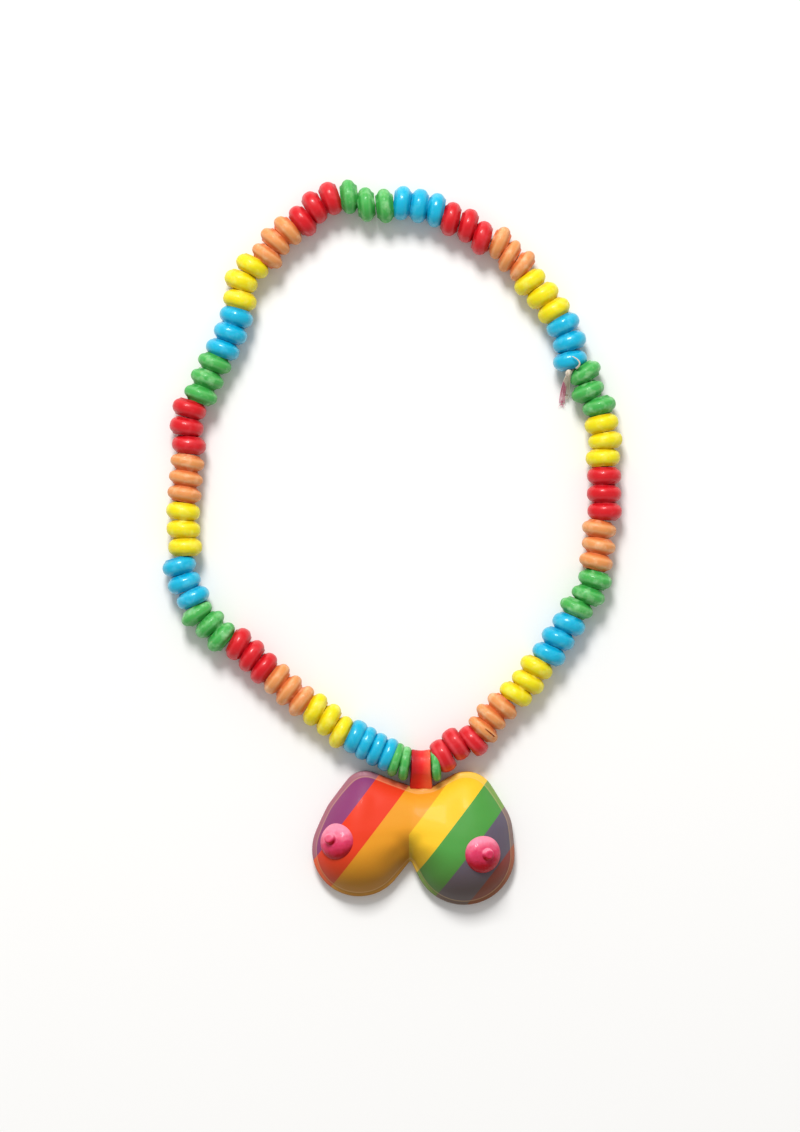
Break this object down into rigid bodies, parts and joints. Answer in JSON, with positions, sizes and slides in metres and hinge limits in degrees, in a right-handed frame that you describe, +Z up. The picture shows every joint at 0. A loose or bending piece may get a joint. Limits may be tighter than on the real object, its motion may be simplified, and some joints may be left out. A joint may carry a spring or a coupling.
{
  "type": "candy necklace",
  "caption": "Necklace of pressed sugar sweets in runs of one colour on a knotted elastic, laid flat as a closed loop, with a domed two-lobed candy pendant on a red loop.",
  "frame": {"origin": "on the table under the middle of the necklace's outline seen from above", "axes": "+Z up from the table, +Y from the pendant towards the far end of the loop, +X to the right seen from above"},
  "size_m": [0.1479, 0.2328, 0.0174],
  "materials": {
    "sweet_green": "pressed sugar, satin",
    "sweet_blue": "pressed sugar, satin gloss",
    "sweet_red": "pressed sugar, satin",
    "sweet_orange": "pressed sugar, satin",
    "sweet_yellow": "pressed sugar, satin",
    "elastic": "fine braided elastic thread",
    "loop": "moulded, glossy",
    "pendant": "glazed candy with slanting coloured stripes",
    "cap": "glazed candy, glossy"
  },
  "bodies": {
    "root": {"sweets_01_green": "sweet_green", "sweets_02_blue": "sweet_blue", "sweets_03_red": "sweet_red", "sweets_04_orange": "sweet_orange", "sweets_05_yellow": "sweet_yellow", "sweets_06_blue": "sweet_blue", "sweets_07_green": "sweet_green", "sweets_08_yellow": "sweet_yellow", "sweets_09_red": "sweet_red", "sweets_10_orange": "sweet_orange", "sweets_11_green": "sweet_green", "sweets_12_blue": "sweet_blue", "sweets_13_yellow": "sweet_yellow", "sweets_14_orange": "sweet_orange", "sweets_15_red": "sweet_red", "sweets_16_green": "sweet_green", "sweets_17_green": "sweet_green", "sweets_18_blue": "sweet_blue", "sweets_19_yellow": "sweet_yellow", "sweets_20_orange": "sweet_orange", "sweets_21_red": "sweet_red", "sweets_22_green": "sweet_green", "sweets_23_blue": "sweet_blue", "sweets_24_yellow": "sweet_yellow", "sweets_25_orange": "sweet_orange", "sweets_26_red": "sweet_red", "sweets_27_green": "sweet_green", "sweets_28_blue": "sweet_blue", "sweets_29_yellow": "sweet_yellow", "sweets_30_orange": "sweet_orange", "sweets_31_red": "sweet_red", "elastic": "elastic", "loop": "loop", "pendant": "pendant", "cap_left": "cap", "cap_right": "cap"}
  },
  "joints": []
}
